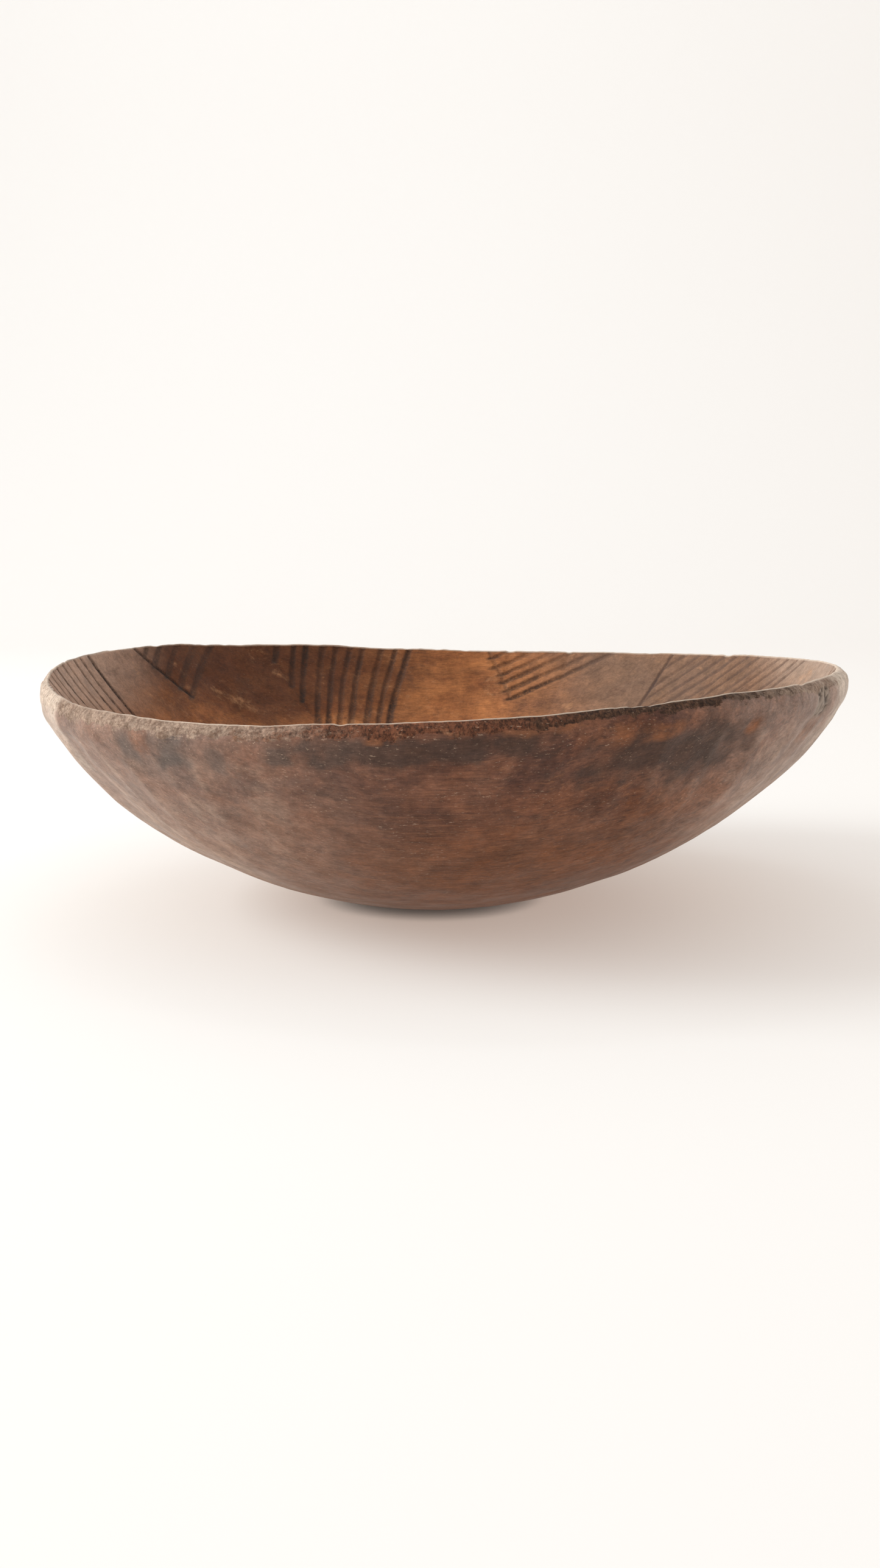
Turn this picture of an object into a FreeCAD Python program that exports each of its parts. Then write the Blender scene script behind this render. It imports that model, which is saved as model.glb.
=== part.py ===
import FreeCAD, Part
import math
import os

# Shallow dugout bowl, carved from one block of wood: a rounded outside on a small flat foot, a hollow
# inside, a saddle-shaped rim with a bevelled outer edge, and hatched triangles cut inside the rim.
# Millimetres. The origin is the middle of the foot's underside, +Z up, +X along the bowl's length.

SIZES = {
    # outside
    "rim_length": 400,
    "rim_width": 386,
    "outer_radius": 246.5,
    "foot_diameter": 60,
    # rim, a saddle that is highest along the swell direction
    "rim_low_height": 113,
    "rim_rise": 10,
    "swell_angle": -25,
    "rim_land": 3,
    "bevel_width": 4,
    "bevel_drop": 6,
    # hollow
    "floor_thickness": 14,
    # hatching
    "groove_width": 2.2,
    "groove_depth": 1.0,
    "groove_overrun": 6,
}

# Hatched triangles, going round the rim clockwise: where the left and right corners lie on the rim
# (degrees from +X towards +Y), where the lower corner lies (degrees, and distance from the middle in
# plan) and into how many gaps the hatching divides the triangle.
TRIANGLES = {
    "west": (202, 166, 159, 112, 11),
    "north_west": (152, 134, 144, 174, 5),
    "north": (123, 95.5, 117, 100, 10),
    "north_east": (81, 57, 75, 170, 6),
    "east": (45, 10, 50, 120, 11),
    "east_south": (-8, -28, -13, 172, 5),
    "south_east": (-41, -71, -52, 106, 10),
    "south": (-84, -104, -89, 170, 6),
    "south_west": (-117, -146, -132, 110, 9),
}

SHEET = "Dimensions"

# The hollow is a bowl-shaped piece of a sphere, squeezed to the bowl's width like the outside.
HOLLOW_HALF_LENGTH = "(<rim_length> / 2 - <bevel_width> - <rim_land>)"
HOLLOW_DEPTH = "(<rim_low_height> + <rim_rise> / 2 - <floor_thickness>)"
HOLLOW_RADIUS = f"(({HOLLOW_HALF_LENGTH} ^ 2 + {HOLLOW_DEPTH} ^ 2) / (2 * {HOLLOW_DEPTH}))"


def fill_sheet(doc):
    """Put every driving dimension in the sheet as a plain number with a name."""
    sheet = doc.addObject("Spreadsheet::Sheet", SHEET)
    rows = dict(SIZES)
    for name, numbers in TRIANGLES.items():
        labels = ("left_angle", "right_angle", "tip_angle", "tip_reach", "gaps")
        for label, number in zip(labels, numbers):
            rows[f"{name}_{label}"] = number
    for row, (alias, number) in enumerate(rows.items(), start=1):
        sheet.set(f"A{row}", alias)
        sheet.set(f"B{row}", str(number))
        sheet.setAlias(f"B{row}", alias)
    doc.recompute()
    return sheet


def bind(feature, **formulas):
    """Bind properties to formulas of the sheet's cells, written as <cell name>."""
    for name, formula in formulas.items():
        path = name.replace("__", ".")
        feature.setExpression(path, formula.replace("<", f"{SHEET}.").replace(">", ""))


def combine(doc, kind, name, base, tool):
    feature = doc.addObject(kind, name)
    feature.Base = base
    feature.Tool = tool
    return feature


def make_blank(doc):
    """Rounded outside, upright in a narrow band below the rim and flat on its foot."""
    outside = doc.addObject("Part::Ellipsoid", "outside")
    bind(outside, Radius1="<outer_radius>", Radius2="<outer_radius>",
         Radius3="<outer_radius> * <rim_width> / <rim_length>",
         Placement__Base__z="sqrt(<outer_radius> ^ 2 - <foot_diameter> ^ 2 / 4)")
    plan = doc.addObject("Part::Ellipse", "rim_plan")
    bind(plan, MajorRadius="<rim_length> / 2", MinorRadius="<rim_width> / 2")
    band = doc.addObject("Part::Extrusion", "rim_band")
    band.Base = plan
    band.DirMode = "Custom"
    band.Dir = FreeCAD.Vector(0, 0, 1)
    band.Solid = True
    bind(band, LengthFwd="<rim_low_height> + 3 * <rim_rise>")
    return combine(doc, "Part::Common", "blank", outside, band)


def trim_rim(doc, blank):
    """Cut the rim with a wide lying cylinder, which leaves a saddle: low across it, high along it."""
    swell = doc.addObject("Part::Cylinder", "rim_swell")
    bind(swell, Radius="<rim_length> ^ 2 / (8 * <rim_rise>)", Height="2 * <rim_length>")
    lying = FreeCAD.Rotation(FreeCAD.Vector(1, 0, 0), 90)
    turned = FreeCAD.Rotation(FreeCAD.Vector(0, 0, 1), doc.getObject(SHEET).get("swell_angle"))
    half = doc.getObject(SHEET).get("rim_length")
    along = turned.multVec(FreeCAD.Vector(0, half, 0))
    swell.Placement = FreeCAD.Placement(along, turned * lying)
    bind(swell, Placement__Base__z="<rim_low_height> + <rim_length> ^ 2 / (8 * <rim_rise>)")
    return combine(doc, "Part::Cut", "trimmed", blank, swell)


def bevel_rim(doc, trimmed):
    """Bevel the outer edge of the rim, all the way round."""
    doc.recompute()
    sheet = doc.getObject(SHEET)
    top = max(trimmed.Shape.Faces, key=lambda face: face.CenterOfMass.z)
    rim_edges = [number for number, edge in enumerate(trimmed.Shape.Edges, start=1)
                 if any(edge.isSame(other) for other in top.OuterWire.Edges)]
    bevelled = doc.addObject("Part::Chamfer", "bevelled")
    bevelled.Base = trimmed
    bevelled.Edges = [(number, sheet.get("bevel_drop"), sheet.get("bevel_width")) for number in rim_edges]
    return bevelled


def add_hollow(doc, name, growth):
    """Rounded solid the size of the hollow, grown on every side by the given formula."""
    hollow = doc.addObject("Part::Ellipsoid", name)
    radius = f"{HOLLOW_RADIUS} + {growth}"
    bind(hollow, Radius1=radius, Radius2=radius,
         Radius3=f"{HOLLOW_RADIUS} * <rim_width> / <rim_length> + {growth}",
         Placement__Base__z=f"<floor_thickness> + {HOLLOW_RADIUS}")
    return hollow


def plan_point(sheet, angle, reach):
    """Point seen from above, at an angle round the oval and a distance measured along its length."""
    turn = math.radians(angle)
    narrowing = sheet.get("rim_width") / sheet.get("rim_length")
    return FreeCAD.Vector(reach * math.cos(turn), reach * narrowing * math.sin(turn), 0)


def add_strip(doc, name, start, end):
    """Upright blade over the line from start to end, which cuts one groove."""
    width = doc.getObject(SHEET).get("groove_width")
    blade = doc.addObject("Part::Box", name)
    blade.Length = (end - start).Length
    bind(blade, Width="<groove_width>", Height="<rim_low_height> + 3 * <rim_rise>")
    turned = FreeCAD.Rotation(FreeCAD.Vector(1, 0, 0), end - start)
    aside = turned.multVec(FreeCAD.Vector(0, width / 2, 0))
    blade.Placement = FreeCAD.Placement(start - aside, turned)
    return blade


def add_triangle(doc, name):
    """Left side of one triangle, and its hatching: lines from that side to the rim, side by side."""
    sheet = doc.getObject(SHEET)
    rim_reach = sheet.get("rim_length") / 2 + sheet.get("groove_overrun")
    left = plan_point(sheet, sheet.get(f"{name}_left_angle"), rim_reach)
    right = plan_point(sheet, sheet.get(f"{name}_right_angle"), rim_reach)
    tip = plan_point(sheet, sheet.get(f"{name}_tip_angle"), sheet.get(f"{name}_tip_reach"))
    gaps = int(sheet.get(f"{name}_gaps"))
    strips = [add_strip(doc, f"{name}_side", left, tip)]
    for count in range(1, gaps + 1):
        share = count / gaps
        lower = left + (tip - left) * share
        upper = left + (right - left) * share
        strips.append(add_strip(doc, f"{name}_hatch_{count}", lower, upper))
    return strips


def carve_hatching(doc):
    """Everything that the grooves take away: blades, stopped at the depth of the grooves."""
    blades = doc.addObject("Part::MultiFuse", "blades")
    blades.Shapes = [strip for name in TRIANGLES for strip in add_triangle(doc, name)]
    return combine(doc, "Part::Common", "hatching", blades, add_hollow(doc, "groove_floor", "<groove_depth>"))


def check(doc, parts):
    """Stop before anything is written if a feature failed or a part is not one valid solid."""
    for feature in doc.Objects:
        if "Invalid" in feature.State or "Error" in feature.State:
            raise RuntimeError(f"{feature.Name} failed: {feature.State}")
    for part in parts:
        if part.Shape.isNull() or not part.Shape.isValid() or len(part.Shape.Solids) != 1:
            raise RuntimeError(f"{part.Label} is not one valid solid")


def main():
    doc = FreeCAD.newDocument("carved_bowl")
    fill_sheet(doc)
    outside = bevel_rim(doc, trim_rim(doc, make_blank(doc)))
    hollowed = combine(doc, "Part::Cut", "hollowed", outside, add_hollow(doc, "hollow", "0"))
    bowl = combine(doc, "Part::Cut", "bowl", hollowed, carve_hatching(doc))
    bowl.Label = "bowl"
    doc.recompute()
    check(doc, [bowl])
    os.makedirs("parts", exist_ok=True)
    bowl.Shape.exportStep(f"parts/{bowl.Label}.step")
    print(f"{bowl.Label}: {bowl.Shape.Volume / 1000:.0f} cm3")


main()
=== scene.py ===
"""Looks of a carved wooden bowl: one block of old dark hardwood, hollowed with an adze, with hatched
triangles cut and burnt inside the rim. Metres, +Z up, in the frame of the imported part."""

import math

import bpy
import numpy as np
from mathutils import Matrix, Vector


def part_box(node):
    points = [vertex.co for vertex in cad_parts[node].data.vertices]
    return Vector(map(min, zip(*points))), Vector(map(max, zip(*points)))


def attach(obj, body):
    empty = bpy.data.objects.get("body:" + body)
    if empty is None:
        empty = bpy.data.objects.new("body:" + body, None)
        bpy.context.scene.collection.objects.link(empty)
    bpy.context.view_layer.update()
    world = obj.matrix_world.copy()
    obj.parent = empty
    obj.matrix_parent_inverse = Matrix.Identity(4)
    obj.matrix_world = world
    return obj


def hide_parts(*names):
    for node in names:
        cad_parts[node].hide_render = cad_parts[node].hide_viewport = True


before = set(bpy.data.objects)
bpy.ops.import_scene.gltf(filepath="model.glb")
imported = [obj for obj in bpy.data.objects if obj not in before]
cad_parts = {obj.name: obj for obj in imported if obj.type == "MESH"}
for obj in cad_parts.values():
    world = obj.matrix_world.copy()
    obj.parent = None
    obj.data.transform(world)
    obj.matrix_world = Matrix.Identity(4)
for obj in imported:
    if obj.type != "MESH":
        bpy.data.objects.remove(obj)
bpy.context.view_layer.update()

MM = 0.001
FULL_TURN = 2 * math.pi

# ---------------------------------------------------------------- sizes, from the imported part
bowl_low, bowl_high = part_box("bowl")
HALF_LENGTH = (bowl_high[0] - bowl_low[0]) / 2
NARROWING = (bowl_high[1] - bowl_low[1]) / (bowl_high[0] - bowl_low[0])
RIM_TOP = bowl_high[2]

OUTER_RADIUS = 246.5 * MM
FOOT_RADIUS = 30 * MM
FLOOR_THICKNESS = 14 * MM
RIM_SWELL = 5.0 * MM
SWELL_ANGLE = -25.5
CREST_REACH = HALF_LENGTH - 4 * MM
OUTER_CENTRE = math.sqrt(OUTER_RADIUS ** 2 - FOOT_RADIUS ** 2)
RIM_MEAN = RIM_TOP - RIM_SWELL
UNDERSIDE_SHIFT = -5 * MM
BELLY_SWELL = 1.6 * MM
BELLY_HEIGHT = 42 * MM
BAND_LEAN = 0.6
BAND_HEIGHT = 5 * MM
END_SWELL = 3.6 * MM

# How far the bevel faces outwards and upwards, as the two parts of a direction.
BEVEL_OUT = 0.85
BEVEL_UP = 0.53

# Worm-eaten patch of the band: its place round the bowl, its depth below the crest and its half size.
PIT_PLACE = math.radians(-30)
PIT_DEPTH = 10 * MM
PIT_HALF_WIDTH = 8 * MM
PIT_HALF_HEIGHT = 7 * MM

# Hatched triangles inside the rim: left and right corner on the rim (degrees), lower corner (degrees
# and distance down the wall), number of gaps between the lines, width of the hatching beside that of a
# plain groove, how dark the left side and the hatching still are, and how much it fades towards the rim.
TRIANGLES = (
    (202, 166, 160, 140 * MM, 12, 1.05, 0.7, 1.0, 0.0),
    (152, 134, 144, 36 * MM, 5, 1.9, 0.95, 0.65, 0.0),
    (123, 95.5, 108, 145 * MM, 10, 2.0, 0.25, 1.0, 0.15),
    (81, 57, 75, 36 * MM, 6, 1.7, 0.45, 1.0, 0.6),
    (45, 10, 50, 150 * MM, 12, 1.25, 0.9, 0.70, 0.1),
    (-8, -28, -13, 40 * MM, 5, 1.1, 0.7, 0.7, 0.2),
    (-41, -71, -52, 135 * MM, 10, 1.1, 0.7, 0.85, 0.2),
    (-84, -104, -89, 36 * MM, 6, 1.4, 0.6, 0.9, 0.4),
    (-117, -146, -132, 130 * MM, 10, 1.2, 0.7, 0.9, 0.2),
)
GROOVE_WIDTH = 2.5 * MM
GROOVE_DEPTH = 0.9 * MM

# Stained and worn patches under the rim: place round the bowl (degrees), depth below the crest, half
# width and half height (mm), and tone, from -1 for dark grey to 1 for orange-brown.
PATCHES = (
    (-133, 15, 6, 7, -0.8),
    (-125, 14, 9, 7, -1.0),
    (-118, 16, 4, 5, -0.6),
    (-109, 13, 5, 4, -0.9),
    (-92, 11.5, 52, 5.5, -0.9),
    (-58, 21, 42, 11, -0.9),
    (-130, 9, 5, 6, 0.35),
    (-97.5, 7, 3, 1.5, 1.0),
    (-77, 4, 18, 3, 0.7),
    (-67.5, 11, 4.5, 5, 0.8),
    (-61.5, 11.5, 9, 3.5, 0.85),
    (-46.5, 15, 3.5, 3, 1.0),
    (-30, 24, 6, 5, 0.5),
    (15, 18, 30, 9, -0.8),
    (60, 14, 12, 6, -0.9),
    (84, 12, 8, 4, 0.8),
    (112, 16, 36, 8, -0.9),
    (150, 11, 9, 5, 0.7),
)

# Pale ends of the rim, partly dry wood and partly painted sheen of grazing light: from and to which
# place and how soft it is there (degrees), and how pale.
PALE_ENDS = (
    (-25, 10, 4, 12, 1.0),
    (178, 208, 14, 1.2, 0.7),
)


# ---------------------------------------------------------------- seeded noise
class Noise:
    """Smooth noise of points in space, from about -1 to 1, the same on every run."""

    SIZE = 4096

    def __init__(self, seed):
        random = np.random.default_rng(seed)
        self.values = random.uniform(-1, 1, self.SIZE)
        self.order = random.permutation(self.SIZE)

    def __call__(self, points, scale):
        """scale is the size of one lump, in the points' units, one number or one for each axis."""
        spot = points / np.asarray(scale)
        cell = np.floor(spot).astype(np.int64)
        part = spot - cell
        part = part * part * (3 - 2 * part)
        total = np.zeros(len(points))
        for corner in np.ndindex(2, 2, 2):
            key = self.order[(cell[:, 0] + corner[0]) % self.SIZE]
            key = self.order[(key + cell[:, 1] + corner[1]) % self.SIZE]
            key = self.order[(key + cell[:, 2] + corner[2]) % self.SIZE]
            weight = np.prod(np.where(corner, part, 1 - part), axis=1)
            total += weight * self.values[key]
        return total

    def rough(self, points, scale, octaves):
        """Several layers of noise, each half the size and half the strength of the one before."""
        total = np.zeros(len(points))
        for layer in range(octaves):
            total += self(points + layer * 7.31, np.asarray(scale) / 2 ** layer) / 2 ** layer
        return total


def smooth_step(low, high, value):
    share = np.clip((value - low) / (high - low), 0, 1)
    return share * share * (3 - 2 * share)


def smooth_min(first, second, width):
    """Smaller of two values, with the corner between them rounded over the given width."""
    blend = np.clip(0.5 + (second - first) / (2 * width), 0, 1)
    return second * (1 - blend) + first * blend - width * blend * (1 - blend)


def wrapped(angle):
    """Angle brought to between half a turn back and half a turn on."""
    return (angle + math.pi) % FULL_TURN - math.pi


def boxed(across, down):
    """Distance from the middle of a box with rounded corners, which is 1 at its edge."""
    return (across ** 4 + down ** 4) ** 0.25


# ---------------------------------------------------------------- the rim, as functions of the turn
rim_noise = Noise(11)


def on_circle(turn, height=0.0):
    """Points on a circle as long as the rim, so that noise read there closes on itself."""
    return np.stack([CREST_REACH * np.cos(turn), CREST_REACH * np.sin(turn),
                     np.full_like(turn, height)], axis=1)


def lobes(turn, count, peak_angle):
    """Wave with this many crests round the rim, one of them at peak_angle degrees."""
    return np.cos(count * (turn - math.radians(peak_angle)))


def crest_height(turn):
    """Height of the rim: a saddle, a slight tilt and three-sided warp, and small waves and chips."""
    places = on_circle(turn)
    height = RIM_MEAN + RIM_SWELL * lobes(turn, 2, SWELL_ANGLE)
    height += 1.3 * MM * lobes(turn, 1, 0) + 1.0 * MM * lobes(turn, 3, 35)
    height += 0.55 * MM * rim_noise(places, 38 * MM)
    height += 0.28 * MM * rim_noise(places + 1, 11 * MM)
    chips = rim_noise(places + 2, 7 * MM)
    height -= 0.7 * MM * smooth_step(0.45, 0.9, chips)
    return height


def right_end(turn):
    """Share of the swelling at the right end of the rim, from 0 to 1."""
    return smooth_step(0.6, 0.98, np.cos(turn))


def crest_reach(turn):
    """Distance of the crest from the middle, measured along the bowl's length."""
    places = on_circle(turn, 1.0)
    reach = CREST_REACH + 0.6 * END_SWELL * right_end(turn)
    return reach + 0.5 * MM * rim_noise(places, 45 * MM) + 0.2 * MM * rim_noise(places, 9 * MM)


def bevel_drop(turn):
    """How far the bevelled strip reaches below the crest: widest at both ends, narrow front right."""
    places = on_circle(turn, 2.0)
    drop = 5.4 * MM + 1.0 * MM * lobes(turn, 1, 205) + 3.2 * MM * right_end(turn)
    return drop + 1.1 * MM * rim_noise(places, 24 * MM) + 0.6 * MM * rim_noise(places, 8 * MM)


# ---------------------------------------------------------------- tool marks
def adze_marks(turn, climb, reach, count, length, seed):
    """Marks of a flat blade that worked up the wall in long overlapping strokes.

    climb is the distance up the wall, reach the distance from the axis, and count the number of strokes
    side by side. Returns the height that the strokes leave above the deepest cut, and how close each
    point is to a ridge between two strokes."""
    sway, slide, curve, tilt = 0.32, 0.25, 0.06, 0.05
    random = np.random.default_rng(seed)
    shifts = random.uniform(0, 1, 64)
    jitters = random.uniform(-1, 1, (4, 4096))
    lowest = np.full(len(turn), 1.0)
    second = np.full(len(turn), 1.0)
    here = np.floor(climb / length).astype(int)
    for row_step in (-1, 0, 1):
        row = here + row_step
        middle = (row + 0.5) * length
        place = turn / FULL_TURN * count + shifts[row % 64]
        for step in (-1, 0, 1):
            cell = np.floor(place) + step
            key = ((cell % count) * 37 + row * 101).astype(int) % 4096
            centre = cell + 0.5 + sway * jitters[0][key]
            across = (place - centre) / count * FULL_TURN * reach
            along = (climb - middle - slide * length * jitters[1][key]) / length
            across = across + curve * length * along * jitters[2][key]
            mark = across ** 2 / (1.1 * OUTER_RADIUS) + tilt * jitters[2][key] * across
            mark += 0.3 * MM * jitters[3][key] + 0.8 * MM * along ** 4
            second = np.minimum(second, np.maximum(lowest, mark))
            lowest = np.minimum(lowest, mark)
    ridge = np.exp(-(second - lowest) / (0.35 * MM))
    return smooth_min(lowest, second, 0.25 * MM), ridge


# ---------------------------------------------------------------- grooves of the hatching
def hatch_lines():
    """Every cut line: its turn at the rim, its turn and depth at the lower end, its share of the full
    width, its darkness and how much it fades towards the rim."""
    random = np.random.default_rng(5)
    lines = []
    for left, right, tip, tip_depth, gaps, broad, side_dark, dark, fade in TRIANGLES:
        lines.append((left, tip, tip_depth, 1.05, side_dark, 0.0))
        for count in range(1, gaps + 1):
            share = (count + random.uniform(-0.14, 0.14) * (count < gaps)) / gaps
            reached = share - random.uniform(0.0, 0.015) * (count < gaps)
            wide = max(broad, 1.3) if count == gaps else random.uniform(0.75, 1.05) * broad
            worn = dark * (1.0 if count == gaps else random.uniform(0.7, 1.0))
            lines.append((left + (right - left) * share, left + (tip - left) * reached,
                          tip_depth * reached, wide, worn, fade))
    return lines


def grooves(places, turn, reach, depth):
    """Depth of the hatching's grooves, from 0 to 1, and darkness of the burnt lines, at each place."""
    wander = Noise(21)
    slow = 0.7 * MM * wander(places, 26 * MM) + 0.18 * MM * wander(places + 3, 6 * MM)
    swelling = 1 + 0.25 * wander(places, 9 * MM)
    unevenness = 0.85 + 0.35 * wander(places + 7, 14 * MM)
    cut = np.zeros(len(places))
    burn = np.zeros(len(places))
    for upper, lower, lower_depth, wide, dark, fade in hatch_lines():
        drift = math.radians(lower - upper) / lower_depth
        off = wrapped(turn - math.radians(upper) - drift * depth)
        gap = np.abs(off * reach + slow) / np.hypot(1, reach * drift)
        past_end = np.maximum(depth - lower_depth, 0)
        gap = np.hypot(gap, past_end)
        share = np.clip(depth / lower_depth, 0, 1)
        half = GROOVE_WIDTH / 2 * wide * swelling * (1 - 0.3 * fade * (1 - share))
        faded = dark * (1 - fade * (1 - share) ** 1.5)
        cut = np.maximum(cut, (0.35 + 0.65 * faded) * (1 - smooth_step(0.1, 1.0, gap / half)))
        burn = np.maximum(burn, faded * unevenness * (1 - smooth_step(0.5, 1.3, gap / half)))
    return cut, np.clip(burn, 0, 1)


# ---------------------------------------------------------------- the bowl's surface
COLUMNS = 1536
INNER_LENGTH = 230 * MM
FEWEST_COLUMNS = 48
CREST_ROUND = 0.5 * MM
INNER_STEPS = ((0.9 * MM, 70 * MM), (1.3 * MM, 135 * MM), (2.2 * MM, 300 * MM))
OUTER_STEPS = ((1.3 * MM, 62 * MM), (2.0 * MM, 150 * MM), (3.0 * MM, 300 * MM))
BEVEL_ROWS = 11


def stops(steps, total):
    """Distances from the rim to the middle, spaced finely at the rim and wider further in."""
    places, spot = [], 0.0
    for gap, until in steps:
        while spot + gap < min(until, total - 2 * MM):
            spot += gap
            places.append(spot)
    return np.array(places) / total


def columns_at(reach, finest):
    """Number of columns in a ring, halved each time the ring is half as wide."""
    halvings = max(0, int(math.log2(CREST_REACH / max(reach, 1 * MM))))
    return max(FEWEST_COLUMNS, finest >> halvings)


def ring_plan():
    """Each ring as its part of the surface, its place there from 0 to 1, and its number of columns."""
    rings = []
    for place in stops(OUTER_STEPS, OUTER_RADIUS)[::-1]:
        reach = OUTER_RADIUS * math.sin(1 - place)
        rings.append(("outer", 1 - place, columns_at(reach, COLUMNS // 2)))
    rings.append(("outer", 1.0, COLUMNS))
    rings += [("bevel", (row + 1) / BEVEL_ROWS, COLUMNS) for row in range(BEVEL_ROWS - 1)]
    rings += [("crest", side, COLUMNS) for side in (-1.0, 0.0, 1.0)]
    for place in stops(INNER_STEPS, INNER_LENGTH):
        reach = CREST_REACH * math.sin(1 - place) / math.sin(1)
        rings.append(("inner", place, columns_at(reach, COLUMNS)))
    return rings


class Surface:
    """Every vertex of the bowl, with what is needed to push it in or out and to colour it."""

    def __init__(self):
        rings = ring_plan()
        self.counts = [1] + [count for _, _, count in rings] + [1]
        turns = [np.zeros(1)]
        turns += [np.arange(count) * FULL_TURN / count for _, _, count in rings]
        turns.append(np.zeros(1))
        parts = [("outer", 0.0)] + [(part, place) for part, place, _ in rings] + [("inner", 1.0)]
        self.turn = np.concatenate(turns)
        self.place = np.repeat([place for _, place in parts], self.counts)
        names = np.repeat([part for part, _ in parts], self.counts)
        self.outer, self.bevel, self.crest, self.inner = (
            names == part for part in ("outer", "bevel", "crest", "inner"))
        self.reach = np.zeros(len(self.turn))
        self.height = np.zeros(len(self.turn))
        self.lean_out = np.zeros(len(self.turn))
        self.lean_up = np.zeros(len(self.turn))
        self.climb = np.zeros(len(self.turn))
        self.depth = np.zeros(len(self.turn))
        self.crest_height = crest_height(self.turn)
        self.crest_reach = crest_reach(self.turn)
        self.bevel_foot = self.crest_height - bevel_drop(self.turn)
        self.band_reach = band_reach(self.turn)
        self.set_outer()
        self.set_bevel()
        self.set_crest()
        self.set_inner()

    def set_outer(self):
        """Ball-shaped outside with a flat foot, chopped to a cone under a narrow upright band."""
        at = self.outer
        full = np.arccos((OUTER_CENTRE - self.bevel_foot[at]) / OUTER_RADIUS)
        slope = self.place[at] * full
        height = OUTER_CENTRE - OUTER_RADIUS * np.cos(slope)
        ball = OUTER_RADIUS * np.sin(slope)
        ball += BELLY_SWELL * np.exp(-((height - BELLY_HEIGHT) / (0.5 * BELLY_HEIGHT)) ** 2)
        cone = self.band_reach[at] - BAND_LEAN * (self.bevel_foot[at] - BAND_HEIGHT - height)
        wall = smooth_min(ball, cone, 2.5 * MM)
        self.reach[at] = smooth_min(wall, self.band_reach[at], 2.5 * MM)
        self.height[at] = -smooth_min(-height, np.zeros(at.sum()), 0.8 * MM)
        upright = smooth_step(-2 * MM, 5 * MM, wall - self.band_reach[at])
        self.lean_out[at] = np.sin(slope) * (1 - upright) + upright
        self.lean_up[at] = -np.cos(slope) * (1 - upright)
        self.climb[at] = OUTER_RADIUS * slope

    def set_bevel(self):
        """Slanting strip between the upright band and the crest."""
        at = self.bevel
        share = self.place[at]
        top = self.crest_reach[at] + CREST_ROUND
        self.reach[at] = self.band_reach[at] * (1 - share) + top * share
        self.height[at] = self.bevel_foot[at] * (1 - share) + self.crest_height[at] * share
        self.lean_out[at] = BEVEL_OUT
        self.lean_up[at] = BEVEL_UP
        bulge = (0.7 + 0.9 * right_end(self.turn[at])) * MM * np.sin(math.pi * share)
        self.reach[at] += BEVEL_OUT * bulge
        self.height[at] += BEVEL_UP * bulge

    def set_crest(self):
        """Narrow rounded top edge."""
        at = self.crest
        side = self.place[at]
        self.reach[at] = self.crest_reach[at] - side * CREST_ROUND
        rounded = np.where(side > 0, 0.7, 0.3) * np.abs(side)
        self.height[at] = self.crest_height[at] - CREST_ROUND * rounded
        self.lean_up[at] = 1.0

    def set_inner(self):
        """Ball-shaped hollow from the crest down to the middle of the floor."""
        at = self.inner
        depth = self.crest_height[at] - FLOOR_THICKNESS
        edge = self.crest_reach[at] - CREST_ROUND
        radius = (depth ** 2 + edge ** 2) / (2 * depth)
        slope = np.arcsin(edge / radius) * (1 - self.place[at])
        self.reach[at] = radius * np.sin(slope)
        self.height[at] = FLOOR_THICKNESS + radius * (1 - np.cos(slope))
        self.lean_out[at] = -np.sin(slope)
        self.lean_up[at] = np.cos(slope)
        self.climb[at] = radius * slope
        self.depth[at] = radius * np.arcsin(edge / radius) * self.place[at]

    def points(self, push=0.0):
        """Positions, with each vertex pushed out of the wood by the given distance."""
        reach = self.reach + self.lean_out * push
        height = np.maximum(self.height + self.lean_up * push, 0)
        aside = UNDERSIDE_SHIFT * (1 - height / RIM_TOP)
        return np.stack([reach * np.cos(self.turn) + aside,
                         NARROWING * reach * np.sin(self.turn), height], axis=1)

    def faces(self):
        """Faces between each ring and the next, as lists of vertex numbers."""
        starts = np.concatenate([[0], np.cumsum(self.counts)])
        quads, triangles = [], []
        for ring in range(len(self.counts) - 1):
            low, high = self.counts[ring], self.counts[ring + 1]
            first, then = starts[ring], starts[ring + 1]
            wide = np.arange(max(low, high))
            if low == high:
                after = (wide + 1) % low
                quads.append(np.stack([first + wide, first + after,
                                       then + after, then + wide], axis=1))
            elif low == 1:
                triangles.append(np.stack([0 * wide + first,
                                           then + (wide + 1) % high, then + wide], axis=1))
            elif high == 1:
                triangles.append(np.stack([first + wide, first + (wide + 1) % low,
                                           0 * wide + then], axis=1))
            else:
                triangles += joined_rings(first, low, then, high)
        return np.concatenate(quads), np.concatenate(triangles)


def joined_rings(first, low, then, high):
    """Triangles between two rings of which one has twice as many vertices."""
    few = np.arange(min(low, high))
    next_few = (few + 1) % len(few)
    fine = [(2 * few + step) % (2 * len(few)) for step in (0, 1, 2)]
    if high > low:
        made = [(few + first, fine[1] + then, fine[0] + then),
                (few + first, next_few + first, fine[1] + then),
                (next_few + first, fine[2] + then, fine[1] + then)]
    else:
        made = [(fine[0] + first, fine[1] + first, few + then),
                (fine[1] + first, next_few + then, few + then),
                (fine[1] + first, fine[2] + first, next_few + then)]
    return [np.stack(corners, axis=1) for corners in made]


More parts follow.
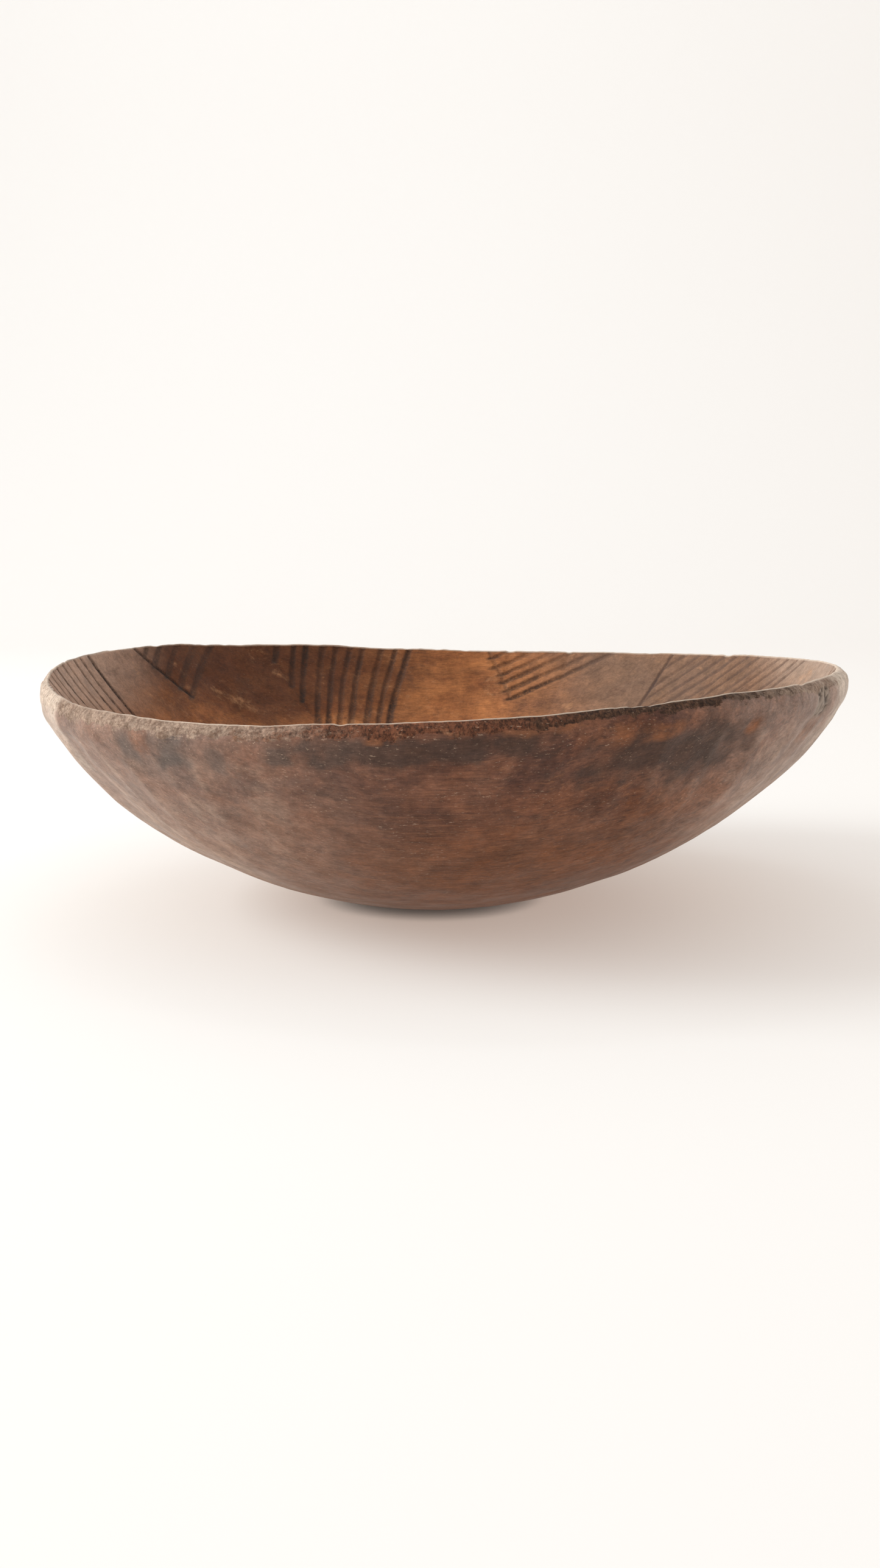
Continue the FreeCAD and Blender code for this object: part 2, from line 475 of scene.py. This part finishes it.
def band_reach(turn):
    """Reach of the upright band, chopped into short flats with upright edges between them."""
    random = np.random.default_rng(8)
    flats = 72
    nudge = random.uniform(-0.35, 0.35, flats)
    tilt = random.uniform(-0.05, 0.05, flats)
    depth = random.uniform(-0.25, 0.25, flats) * MM
    place = turn / FULL_TURN * flats
    best = np.full(len(turn), 1.0)
    for step in (-1, 0, 1):
        cell = np.floor(place) + step
        key = (cell % flats).astype(int)
        across = (place - cell - 0.5 - nudge[key]) / flats * FULL_TURN * HALF_LENGTH
        flat = across ** 2 / (1.2 * HALF_LENGTH) + tilt[key] * across + depth[key]
        best = smooth_min(best, flat, 0.08 * MM)
    return HALF_LENGTH - 0.5 * MM + best + END_SWELL * right_end(turn)


def shape_outside(surface, places):
    """How far the outside stands in or out, and where its ridges are, which are painted lighter for wear
    and as highlight.
    """
    at = surface.outer
    push = np.zeros(len(places))
    ridge = np.zeros(len(places))
    marks, edges = adze_marks(surface.turn[at], surface.climb[at], surface.reach[at],
                              count=44, length=130 * MM, seed=3)
    below_band = 1 - smooth_step(-6 * MM, -1 * MM, surface.reach[at] - surface.band_reach[at])
    off_foot = smooth_step(FOOT_RADIUS, FOOT_RADIUS + 22 * MM, surface.reach[at])
    swell = Noise(31)
    bumps = 0.9 * MM * swell(places[at], 70 * MM) + 0.22 * MM * swell(places[at], 14 * MM)
    grain = 0.06 * MM * swell.rough(places[at], (14 * MM, 3 * MM, 3 * MM), 3)
    kept = 0.35 + 1.25 * smooth_step(0.2, 0.6, np.abs(places[at][:, 0]) / HALF_LENGTH)
    push[at] = off_foot * (below_band * (kept * (marks - 0.3 * MM) + bumps) + grain)
    ridge[at] = edges * below_band * off_foot * kept
    return push, ridge


def shape_rim(surface, places):
    """Torn, chopped surface of the bevel, with bites out of its edges."""
    hacks = Noise(41)
    near_rim = smooth_step(-14 * MM, 0.0, surface.height - surface.bevel_foot) * ~surface.inner
    slant, stretch = 3.0, 0.16
    slanted = surface.turn + (surface.height - surface.crest_height) * slant
    along = on_circle(slanted)
    along[:, 2] = surface.height * stretch
    torn = hacks(along, 2.4 * MM) * 0.30 * MM + hacks.rough(places, 5 * MM, 3) * 0.32 * MM
    on_bevel = surface.bevel * np.sin(math.pi * np.clip(surface.place, 0, 1)) ** 0.5
    bites = smooth_step(0.35, 0.8, hacks(places + 2, (9 * MM, 9 * MM, 5 * MM)))
    push = on_bevel * torn * 1.25 - near_rim * bites * 0.55 * MM
    push += (surface.crest + 0.3 * on_bevel) * 0.12 * MM * hacks(places, 3 * MM)
    return push


def pitted_patch(surface, places):
    """Small pits in a worm-eaten patch of the band on the right."""
    across = wrapped(surface.turn - PIT_PLACE) * HALF_LENGTH
    down = surface.crest_height - surface.height - PIT_DEPTH
    gap = boxed(across / PIT_HALF_WIDTH, down / PIT_HALF_HEIGHT)
    inside = (1 - smooth_step(0.9, 1.1, gap)) * (surface.outer | surface.bevel)
    pits = smooth_step(0.0, 0.35, Noise(51)(places, 1.5 * MM))
    return inside, inside * pits


def shape_inside(surface, places):
    """Smoothed hollow, with faint scraper marks and the cut lines."""
    at = surface.inner
    push = np.zeros(len(places))
    swell = Noise(61)
    marks, _ = adze_marks(surface.turn[at], surface.climb[at], surface.reach[at],
                          count=44, length=60 * MM, seed=9)
    fade = 1 - smooth_step(0.9, 1.0, surface.place[at])
    push[at] = fade * (0.6 * MM * swell(places[at], 60 * MM) + 0.12 * MM * swell(places[at], 12 * MM)
                       - 0.35 * marks)
    cut, burn = np.zeros(len(places)), np.zeros(len(places))
    cut[at], burn[at] = grooves(places[at], surface.turn[at], surface.reach[at], surface.depth[at])
    return push - GROOVE_DEPTH * cut, burn


def build_bowl():
    """The whole bowl as one closed mesh, with the masks for its colours."""
    surface = Surface()
    places = surface.points()
    outside, ridge = shape_outside(surface, places)
    inside, burn = shape_inside(surface, places)
    patch, pits = pitted_patch(surface, places)
    push = outside + inside + shape_rim(surface, places) - 0.5 * MM * patch - 0.7 * MM * pits
    points = surface.points(push)
    quads, triangles = surface.faces()
    mesh = make_mesh("bowl_surface", points, quads, triangles)
    for name, values in masks(surface, points, ridge, burn, patch, pits).items():
        layer = mesh.attributes.new(name, "FLOAT", "POINT")
        layer.data.foreach_set("value", np.clip(values, 0, 1).astype(np.float32))
    bowl = bpy.data.objects.new("bowl_surface", mesh)
    bpy.context.scene.collection.objects.link(bowl)
    return bowl


def make_mesh(name, points, quads, triangles):
    """Blender mesh from arrays of vertices, four-sided faces and triangles."""
    mesh = bpy.data.meshes.new(name)
    mesh.vertices.add(len(points))
    mesh.vertices.foreach_set("co", points.astype(np.float32).ravel())
    corners = np.concatenate([quads.ravel(), triangles.ravel()])
    sides = np.concatenate([np.full(len(quads), 4), np.full(len(triangles), 3)])
    mesh.loops.add(len(corners))
    mesh.loops.foreach_set("vertex_index", corners.astype(np.int32))
    mesh.polygons.add(len(sides))
    mesh.polygons.foreach_set("loop_start", (np.cumsum(sides) - sides).astype(np.int32))
    mesh.polygons.foreach_set("use_smooth", np.ones(len(sides), dtype=bool))
    mesh.update(calc_edges=True)
    mesh.validate()
    return mesh


# ---------------------------------------------------------------- masks for the colours
def stained_patches(surface, points, below):
    """Dark and orange-brown patches under the rim, each from 0 to 1 at every vertex."""
    ragged = 0.45 * Noise(81).rough(points, 7 * MM, 3)
    dark, warm = np.zeros(len(points)), np.zeros(len(points))
    for place, depth, half_width, half_height, tone in PATCHES:
        across = wrapped(surface.turn - math.radians(place))
        wide = np.abs(across) * HALF_LENGTH / (half_width * MM)
        high = np.abs(below - depth * MM) / (half_height * MM)
        share = 1 - smooth_step(0.6, 1.45, boxed(wide, high) + ragged)
        if tone < 0:
            dark = np.maximum(dark, -tone * share)
        else:
            warm = np.maximum(warm, tone * share)
    outside = ~surface.inner
    return dark * outside, warm * outside


def pale_ends(surface, points, below):
    """Pale ends of the rim, partly dry wood and partly painted sheen, sharp or soft at each side, that
    fades downwards.
    """
    pale = np.zeros(len(points))
    ragged = Noise(82)
    wobble = ragged.rough(points, 9 * MM, 3)
    for start, end, soft_start, soft_end, strength in PALE_ENDS:
        middle = (start + end) / 2
        place = (np.degrees(surface.turn) - middle + 180) % 360 - 180 + middle
        begun = smooth_step(-soft_start, soft_start, place - start + soft_start * wobble)
        over = smooth_step(-soft_end, soft_end, place - end + soft_end * wobble)
        pale = np.maximum(pale, strength * begun * (1 - over))
    lower = below + 7 * MM * ragged.rough(points + 1, 16 * MM, 3)
    return pale * (1 - smooth_step(18 * MM, 44 * MM, lower)) * ~surface.inner


def masks(surface, points, ridge, burn, patch, pits):
    """Where the wood is burnt, worn, stained or torn, and where shade, sheen and highlight are painted,
    from 0 to 1 at each vertex.
    """
    tone = Noise(71)
    below = surface.crest_height - points[:, 2]
    inside = surface.inner.astype(float)
    lumps = tone.rough(points, 34 * MM, 3)
    # Painted shade: the hollow darker under the rim at the back left.
    back_left = smooth_step(0.3, 1.0, lobes(surface.turn, 1, 136))
    near_rim = 1 - smooth_step(15 * MM, 75 * MM, below + 14 * MM * lumps)
    dark, warm = stained_patches(surface, points, below)
    drop = surface.crest_height - surface.bevel_foot
    return {
        "inside": inside,
        "edge": np.maximum(inside, below / (2 * drop)),
        "crest": surface.crest.astype(float),
        "burn": burn,
        "ridge": ridge,
        "stain": dark,
        "worn": warm,
        "pale": pale_ends(surface, points, below),
        "painted_shade": back_left * near_rim * inside,
        "patch": patch,
        "pits": pits,
        "lean_right": 0.5 + 0.5 * points[:, 0] / HALF_LENGTH,
        "below": below / RIM_TOP,
    }


# ---------------------------------------------------------------- material
def colour(red, green, blue):
    """Colour given as 0 to 255 display values, as the linear colour that shaders take."""
    def linear(value):
        value /= 255
        return value / 12.92 if value <= 0.04045 else ((value + 0.055) / 1.055) ** 2.4
    return (linear(red), linear(green), linear(blue), 1.0)


class Tree:
    """Shader nodes of one material, with short calls for the few kinds used here."""

    def __init__(self, material):
        material.use_nodes = True
        self.nodes = material.node_tree.nodes
        self.links = material.node_tree.links
        self.shader = self.nodes["Principled BSDF"]
        self.place = self.nodes.new("ShaderNodeTexCoord").outputs["Object"]

    def feed(self, socket, value):
        if isinstance(value, bpy.types.NodeSocket):
            self.links.new(value, socket)
        elif value is not None:
            socket.default_value = value

    def mask(self, name):
        node = self.nodes.new("ShaderNodeAttribute")
        node.attribute_name = name
        return node.outputs["Fac"]

    def math(self, operation, first, second=None):
        node = self.nodes.new("ShaderNodeMath")
        node.operation = operation
        self.feed(node.inputs[0], first)
        self.feed(node.inputs[1], second)
        return node.outputs[0]

    def mix(self, first, second, share, blend="MIX"):
        node = self.nodes.new("ShaderNodeMix")
        node.data_type = "RGBA"
        node.blend_type = blend
        self.feed(node.inputs["Factor"], share)
        self.feed(node.inputs["A"], first)
        self.feed(node.inputs["B"], second)
        return node.outputs["Result"]

    def stretched(self, lump):
        """Object coordinates divided by the size of one lump along X, Y and Z, in millimetres."""
        node = self.nodes.new("ShaderNodeMapping")
        self.feed(node.inputs["Vector"], self.place)
        node.inputs["Scale"].default_value = [1 / (size * MM) for size in lump]
        return node.outputs["Vector"]

    def noise(self, lump, detail=3.0, roughness=0.55, distortion=0.0):
        node = self.nodes.new("ShaderNodeTexNoise")
        self.feed(node.inputs["Vector"], self.stretched(lump))
        node.inputs["Scale"].default_value = 1.0
        node.inputs["Detail"].default_value = detail
        node.inputs["Roughness"].default_value = roughness
        node.inputs["Distortion"].default_value = distortion
        return node.outputs["Fac"]

    def step(self, value, low, high, bottom=0.0, top=1.0):
        """Smooth change from bottom to top as value goes from low to high."""
        node = self.nodes.new("ShaderNodeMapRange")
        node.interpolation_type = "SMOOTHSTEP"
        self.feed(node.inputs["Value"], value)
        for name, number in zip(("From Min", "From Max", "To Min", "To Max"), (low, high, bottom, top)):
            node.inputs[name].default_value = number
        return node.outputs["Result"]

    def times(self, *factors):
        result = factors[0]
        for factor in factors[1:]:
            result = self.math("MULTIPLY", result, factor)
        return result

    def bump(self, height, distance, strength, under=None):
        node = self.nodes.new("ShaderNodeBump")
        node.inputs["Strength"].default_value = strength
        node.inputs["Distance"].default_value = distance
        self.feed(node.inputs["Height"], height)
        self.feed(node.inputs["Normal"], under)
        return node.outputs["Normal"]


def outside_colour(tree, streaks, right, left):
    """Dark brown wood, redder low on the right, paler at both ends from dust, dry wood and painted
    sheen, stained under the rim, ridges lighter from wear and painted highlight.
    """
    blotches = tree.noise((36, 32, 30), 10, 0.74, 0.2)
    wood = tree.mix(colour(80, 53, 44), colour(120, 80, 61), tree.step(blotches, 0.38, 0.62))
    warm = tree.noise((50, 28, 22), 10, 0.72, 0.2)
    low = tree.step(tree.mask("below"), 0.15, 0.70)
    reddish = tree.times(tree.step(warm, 0.46, 0.60), tree.step(right, 0.35, 0.7, 0.2, 1.0),
                         tree.step(tree.mask("below"), 0.25, 0.60, 0.35, 1.0))
    wood = tree.mix(wood, colour(132, 74, 38), tree.times(reddish, 0.65))
    wood = tree.mix(wood, colour(112, 67, 36), tree.times(low, 0.66))
    grainy = tree.step(right, 0.3, 0.75, 0.4, 1.0)
    wood = tree.mix(wood, colour(58, 38, 31),
                    tree.times(tree.step(streaks, 0.52, 0.68, 0.0, 0.7), grainy))
    wood = tree.mix(wood, colour(160, 108, 74), tree.times(tree.step(streaks, 0.46, 0.32), grainy, 0.35))
    # Both ends paler: real dust, and painted sheen of grazing light on the limbs; the dust colour here
    # carries both.
    ends = tree.math("MAXIMUM", tree.step(left, 0.47, 0.95), tree.step(right, 0.70, 0.95))
    dust_and_sheen = tree.times(ends, tree.step(tree.noise((20, 20, 20), 10, 0.75), 0.38, 0.62, 0.6, 1.0),
                       tree.step(tree.mask("below"), 0.15, 0.55, 0.65, 1.25))
    dust = tree.mix(colour(166, 142, 127), colour(186, 164, 150), tree.step(right, 0.5, 0.95))
    wood = tree.mix(wood, dust, tree.times(dust_and_sheen, 0.82))
    # Ridges lighter: partly wear, partly painted highlight on the edges between the strokes.
    ridge_wear_and_highlight = tree.step(tree.noise((26, 20, 26), 8, 0.75), 0.40, 0.60)
    worn = tree.times(tree.mask("ridge"), tree.step(ends, 0.0, 0.6, 0.1, 0.45), ridge_wear_and_highlight)
    wood = tree.mix(wood, colour(186, 158, 138), worn)
    stained = tree.mix(colour(62, 49, 43), colour(98, 86, 79), tree.step(left, 0.5, 0.8))
    wood = tree.mix(wood, stained, tree.times(tree.mask("stain"), 0.85))
    broken = tree.step(tree.noise((9, 6, 5), 8, 0.75), 0.32, 0.56, 0.2, 1.0)
    wood = tree.mix(wood, colour(138, 88, 58), tree.times(tree.mask("worn"), broken, 0.85))
    # Pale ends: partly dry wood, partly painted sheen of grazing light.
    dry_and_sheen = tree.step(tree.noise((14, 12, 9), 10, 0.78), 0.34, 0.58, 0.45, 1.0)
    return tree.mix(wood, colour(204, 186, 170), tree.times(tree.mask("pale"), dry_and_sheen, 0.95))


def inside_colour(tree, streaks, right, left):
    """Warm orange-brown hollow, greyer at both ends from painted sheen, and with painted shade under the
    rim at the back left.
    """
    blotches = tree.noise((50, 40, 30), 10, 0.72, 0.3)
    wood = tree.mix(colour(128, 75, 41), colour(180, 116, 67), tree.step(blotches, 0.36, 0.64))
    wood = tree.mix(wood, colour(96, 56, 33), tree.step(streaks, 0.54, 0.72, 0.0, 0.45))
    # Painted sheen: the right part of the hollow greyer.
    wood = tree.mix(wood, colour(113, 91, 75), tree.step(right, 0.53, 0.78, 0.0, 0.85))
    # Painted shade under the rim at the back left of the hollow.
    wood = tree.mix(wood, colour(70, 38, 22), tree.times(tree.mask("painted_shade"), 0.85))
    # Painted sheen: both ends of the hollow paler and greyer.
    wood = tree.mix(wood, colour(172, 142, 122), tree.times(tree.step(left, 0.88, 0.98), 0.9))
    wood = tree.mix(wood, colour(184, 162, 144), tree.times(tree.step(right, 0.93, 0.99), 0.5))
    smudge = tree.noise((22, 18, 16), 10, 0.72, 0.3)
    wood = tree.mix(wood, colour(76, 50, 38), tree.step(smudge, 0.53, 0.70, 0.0, 0.5))
    return tree.mix(wood, colour(186, 138, 98), tree.step(smudge, 0.45, 0.30, 0.0, 0.4))


def torn_colour(tree, right):
    """Torn fibres of the bevel: dry and tan on the left, reddish in front, dark on the right."""
    fibres = tree.noise((1.4, 1.4, 2.4), 8, 0.80)
    lumps = tree.noise((12, 9, 6), 8, 0.75)
    tan = tree.mix(colour(112, 90, 77), colour(160, 139, 122), tree.step(fibres, 0.36, 0.60))
    tan = tree.mix(tan, colour(104, 82, 68), tree.step(lumps, 0.46, 0.62, 0.0, 0.8))
    red = tree.mix(colour(54, 34, 26), colour(118, 74, 53), tree.step(fibres, 0.38, 0.62))
    red = tree.mix(red, colour(168, 122, 92), tree.step(lumps, 0.54, 0.68, 0.0, 0.6))
    dark = tree.mix(colour(46, 33, 27), colour(92, 66, 50), tree.step(fibres, 0.40, 0.66))
    spread = tree.math("ADD", right, tree.times(tree.math("SUBTRACT", lumps, 0.5), 0.4))
    torn = tree.mix(tan, red, tree.step(spread, 0.24, 0.42))
    torn = tree.mix(torn, dark, tree.step(spread, 0.52, 0.68))
    torn = tree.mix(torn, tan, tree.step(spread, 0.80, 0.90))
    # Pale ends on the bevel: partly dry fibres, partly painted sheen of grazing light.
    dry_and_sheen = tree.mix(colour(160, 140, 124), colour(210, 194, 178), tree.step(fibres, 0.36, 0.56))
    return tree.mix(torn, dry_and_sheen, tree.times(tree.mask("pale"), 0.9))


def torn_share(tree, right):
    """Where the bevel is torn, with a ragged lower edge that comes up to the crest on the right."""
    ragged = tree.times(tree.math("SUBTRACT", tree.noise((9, 9, 4), 8, 0.72), 0.5), 1.4)
    narrowed = tree.step(right, 0.5, 0.72, 0.0, 0.16)
    lower = tree.math("ADD", tree.math("ADD", tree.mask("edge"), ragged), narrowed)
    return tree.times(tree.step(lower, 0.56, 0.44), tree.math("SUBTRACT", 1.0, tree.mask("inside")))


def wood_material():
    """Old carved wood: outside, hollow and torn bevel, then grain, pores, wear, a painted highlight on
    the crest and the burnt lines.
    """
    material = bpy.data.materials.new("carved_wood")
    tree = Tree(material)
    right = tree.mask("lean_right")
    left = tree.math("SUBTRACT", 1.0, right)
    streaks = tree.noise((30, 1.7, 1.7), 8, 0.66, 0.3)
    wood = tree.mix(outside_colour(tree, streaks, right, left),
                    inside_colour(tree, streaks, right, left), tree.mask("inside"))
    torn = torn_share(tree, right)
    wood = tree.mix(wood, torn_colour(tree, right), torn)
    mottle = tree.noise((10, 8, 8), 12, 0.85)
    wood = tree.mix(wood, tree.step(mottle, 0.36, 0.64, 0.75, 1.25), 1.0, "MULTIPLY")
    fibre = tree.noise((7, 0.9, 0.9), 6, 0.72)
    wood = tree.mix(wood, tree.step(fibre, 0.36, 0.64, 0.86, 1.14), 1.0, "MULTIPLY")
    pores = tree.noise((2.4, 0.8, 0.8), 5, 0.68)
    crowded = tree.step(tree.noise((24, 18, 14), 4), 0.4, 0.6, 0.3, 1.0)
    dust = tree.times(tree.step(pores, 0.60, 0.68), crowded, tree.step(right, 0.1, 0.8, 0.75, 0.4))
    dust = tree.times(dust, tree.step(tree.mask("inside"), 0, 1, 1.0, 0.2))
    wood = tree.mix(wood, colour(198, 170, 146), dust)
    wood = tree.mix(wood, colour(44, 30, 24), tree.step(pores, 0.36, 0.28, 0.0, 0.6))
    # Painted highlight along the crest, weaker at the left end.
    crest_highlight = tree.step(left, 0.75, 0.90, 0.62, 0.25)
    wood = tree.mix(wood, colour(214, 196, 178), tree.times(tree.mask("crest"), crest_highlight))
    rotten = tree.mix(colour(150, 134, 120), colour(72, 62, 55), tree.mask("pits"))
    wood = tree.mix(wood, rotten, tree.times(tree.mask("patch"), 0.9))
    char = tree.times(tree.mask("burn"), tree.step(tree.noise((4, 4, 4), 4), 0.25, 0.55, 0.6, 1.0))
    char = tree.times(char, tree.step(tree.noise((1.3, 1.3, 1.3), 4, 0.7), 0.32, 0.52, 0.5, 1.0))
    soft_char = tree.mix(colour(44, 32, 26), colour(80, 62, 55), tree.step(right, 0.66, 0.8))
    wood = tree.mix(wood, soft_char, char)
    tree.feed(tree.shader.inputs["Base Color"], wood)
    tree.shader.inputs["Specular IOR Level"].default_value = 0.16
    tree.shader.inputs["Sheen Weight"].default_value = 0.16
    tree.shader.inputs["Sheen Roughness"].default_value = 0.25
    tree.shader.inputs["Sheen Tint"].default_value = (1.0, 0.90, 0.82, 1.0)
    gloss = tree.step(tree.noise((28, 20, 20), 8, 0.7), 0.35, 0.65, 0.42, 0.66)
    gloss = tree.math("MAXIMUM", gloss, tree.times(torn, 0.85))
    tree.feed(tree.shader.inputs["Roughness"], gloss)
    grain = tree.bump(streaks, 0.3 * MM, 0.5)
    fine = tree.bump(tree.noise((2.2, 1.1, 1.1), 5, 0.65), 0.3 * MM, 0.7, grain)
    tree.feed(tree.shader.inputs["Normal"], tree.bump(pores, 0.15 * MM, 0.6, fine))
    return material


# ---------------------------------------------------------------- studio
# How wide the gap round the foot is that stays dark, and how strongly the paper glows there and away
# from it.
DARK_GAP = 8 * MM
GLOW_IN_GAP = 0.04
GLOW = 0.40

# Lamps: name, place, the point it faces, length of its side, power in watts and colour.
LAMPS = (
    ("key", (-1.7, -0.1, 1.0), (0, 0, RIM_MEAN / 2), 1.0, 32, (1.0, 0.985, 0.96)),
    ("backdrop_light", (-0.4, 0.9, 2.2), (-0.3, 2.6, 0.6), 0.8, 8, (1.0, 1.0, 1.0)),
)
WORLD_STRENGTH = 0.88

# Camera: where it stands, how far it is tipped down (degrees), and its lens and sensor (mm).
CAMERA_DISTANCE = 4.2 * HALF_LENGTH
CAMERA_ABOVE_RIM = 79 * MM
CAMERA_DOWN = 9.31
LENS = 37.74
SENSOR = 36.0


def paper_material():
    """White studio paper, a little self-lit so that the shadow on it stays pale and warm, but not in
    the narrow gap round the bowl's foot."""
    material = bpy.data.materials.new("paper")
    tree = Tree(material)
    shader = tree.shader
    shader.inputs["Base Color"].default_value = (0.49, 0.54, 0.56, 1.0)
    shader.inputs["Roughness"].default_value = 0.9
    shader.inputs["Specular IOR Level"].default_value = 0.1
    shader.inputs["Emission Color"].default_value = (1.0, 0.80, 0.68, 1.0)
    open_air = tree.nodes.new("ShaderNodeAmbientOcclusion")
    open_air.samples = 4
    open_air.inputs["Distance"].default_value = DARK_GAP
    tree.feed(shader.inputs["Emission Strength"],
              tree.step(open_air.outputs["AO"], 0.0, 0.5, GLOW_IN_GAP, GLOW))
    return material


def build_backdrop():
    """Pale floor that curves up into a wall well behind the bowl, seen without a corner."""
    half_width, front, bend, radius, top = 4.0, -3.0, 1.6, 1.0, 4.0
    outline = [(front, 0.0), (bend, 0.0)]
    steps = 16
    for step in range(1, steps + 1):
        turn = step / steps * math.pi / 2
        outline.append((bend + radius * math.sin(turn), radius * (1 - math.cos(turn))))
    outline.append((bend + radius, top))
    points = np.array([(side * half_width, along, up) for along, up in outline for side in (-1, 1)])
    first = np.arange(len(outline) - 1) * 2
    quads = np.stack([first, first + 1, first + 3, first + 2], axis=1)
    mesh = make_mesh("backdrop", points, quads, np.zeros((0, 3), dtype=int))
    mesh.materials.append(paper_material())
    backdrop = bpy.data.objects.new("backdrop", mesh)
    bpy.context.scene.collection.objects.link(backdrop)
    return backdrop


def add_softbox(name, place, target, size, power, tint):
    """Square lamp that faces its target."""
    lamp = bpy.data.lights.new(name, "AREA")
    lamp.size = size
    lamp.energy = power
    lamp.color = tint
    holder = bpy.data.objects.new(name, lamp)
    holder.location = place
    aim = Vector(target) - Vector(place)
    holder.rotation_euler = aim.to_track_quat("-Z", "Y").to_euler()
    bpy.context.scene.collection.objects.link(holder)


def light_studio():
    """Even light all round, and the lamps."""
    world = bpy.data.worlds.new("studio")
    world.use_nodes = True
    background = world.node_tree.nodes["Background"]
    background.inputs["Color"].default_value = (1.0, 0.985, 0.965, 1.0)
    background.inputs["Strength"].default_value = WORLD_STRENGTH
    bpy.context.scene.world = world
    for lamp in LAMPS:
        add_softbox(*lamp)
    bpy.context.scene.view_settings.view_transform = "Standard"


def add_camera():
    """Camera in front of the bowl, a little above the rim, tipped down to it."""
    lens = bpy.data.cameras.new("camera")
    lens.sensor_width = SENSOR
    lens.lens = LENS
    camera = bpy.data.objects.new("camera", lens)
    camera.location = (0.0, -CAMERA_DISTANCE, RIM_MEAN + CAMERA_ABOVE_RIM)
    camera.rotation_euler = (math.radians(90 - CAMERA_DOWN), 0.0, 0.0)
    bpy.context.scene.collection.objects.link(camera)
    bpy.context.scene.camera = camera


bowl = build_bowl()
bowl.data.materials.append(wood_material())
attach(bowl, "root")
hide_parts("bowl")
build_backdrop()
light_studio()
add_camera()
